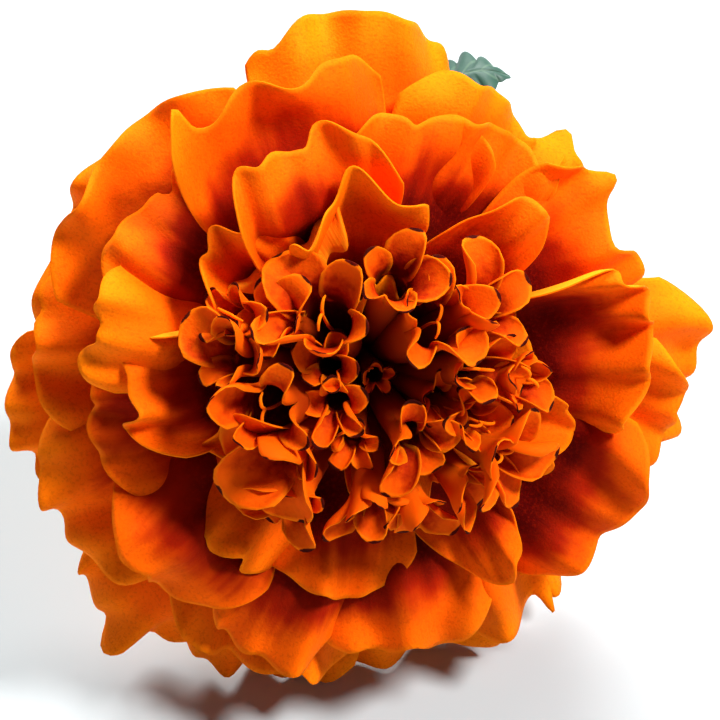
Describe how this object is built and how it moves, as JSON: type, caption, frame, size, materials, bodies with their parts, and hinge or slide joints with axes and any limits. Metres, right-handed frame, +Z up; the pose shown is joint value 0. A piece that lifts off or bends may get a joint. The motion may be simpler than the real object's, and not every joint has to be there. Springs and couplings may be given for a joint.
{
  "type": "marigold flower",
  "caption": "Double French marigold bloom, cut with a short stem and laid down: ruffled orange ray petals in whorls, tubular florets in the middle, a green cup and a small leaf.",
  "frame": {"origin": "on the surface that the flower lies on, under the middle of its bounding box", "axes": "+Z up; -Y is the side that the flower faces, tipped 25 degrees upwards; +Y is the way its stem runs; +X is to the right as seen from the front"},
  "size_m": [0.0574, 0.0769, 0.0517],
  "materials": {
    "ray_petal": "velvety orange petal with a dark red blotch towards its claw",
    "disc_floret": "deep orange tubular floret with pale rims and dark tips",
    "cup": "matt green involucre with faint ribs and darker oil glands",
    "receptacle": "pale green pith",
    "stem": "green, finely ridged stem",
    "leaf": "bluish green leaf"
  },
  "bodies": {
    "root": {"disc_floret_01": "disc_floret", "disc_floret_02": "disc_floret", "disc_floret_03": "disc_floret", "disc_floret_04": "disc_floret", "disc_floret_05": "disc_floret", "disc_floret_06": "disc_floret", "disc_floret_07": "disc_floret", "disc_floret_08": "disc_floret", "disc_floret_09": "disc_floret", "disc_floret_10": "disc_floret", "disc_floret_11": "disc_floret", "fifth_petal_01": "ray_petal", "fifth_petal_02": "ray_petal", "fifth_petal_03": "ray_petal", "fifth_petal_04": "ray_petal", "fifth_petal_05": "ray_petal", "fourth_petal_01": "ray_petal", "fourth_petal_02": "ray_petal", "fourth_petal_03": "ray_petal", "fourth_petal_04": "ray_petal", "fourth_petal_05": "ray_petal", "fourth_petal_06": "ray_petal", "fourth_petal_07": "ray_petal", "fourth_petal_08": "ray_petal", "involucre": "cup", "leaf": "leaf", "outer_petal_01": "ray_petal", "outer_petal_02": "ray_petal", "outer_petal_03": "ray_petal", "outer_petal_04": "ray_petal", "outer_petal_05": "ray_petal", "outer_petal_06": "ray_petal", "outer_petal_07": "ray_petal", "outer_petal_08": "ray_petal", "outer_petal_09": "ray_petal", "outer_petal_10": "ray_petal", "outer_petal_11": "ray_petal", "outer_petal_12": "ray_petal", "peduncle": "stem", "receptacle": "receptacle", "second_petal_01": "ray_petal", "second_petal_02": "ray_petal", "second_petal_03": "ray_petal", "second_petal_04": "ray_petal", "second_petal_05": "ray_petal", "second_petal_06": "ray_petal", "second_petal_07": "ray_petal", "second_petal_08": "ray_petal", "second_petal_09": "ray_petal", "second_petal_10": "ray_petal", "third_petal_01": "ray_petal", "third_petal_02": "ray_petal", "third_petal_03": "ray_petal", "third_petal_04": "ray_petal", "third_petal_05": "ray_petal", "third_petal_06": "ray_petal", "third_petal_07": "ray_petal", "third_petal_08": "ray_petal", "third_petal_09": "ray_petal", "third_petal_10": "ray_petal"}
  },
  "joints": []
}
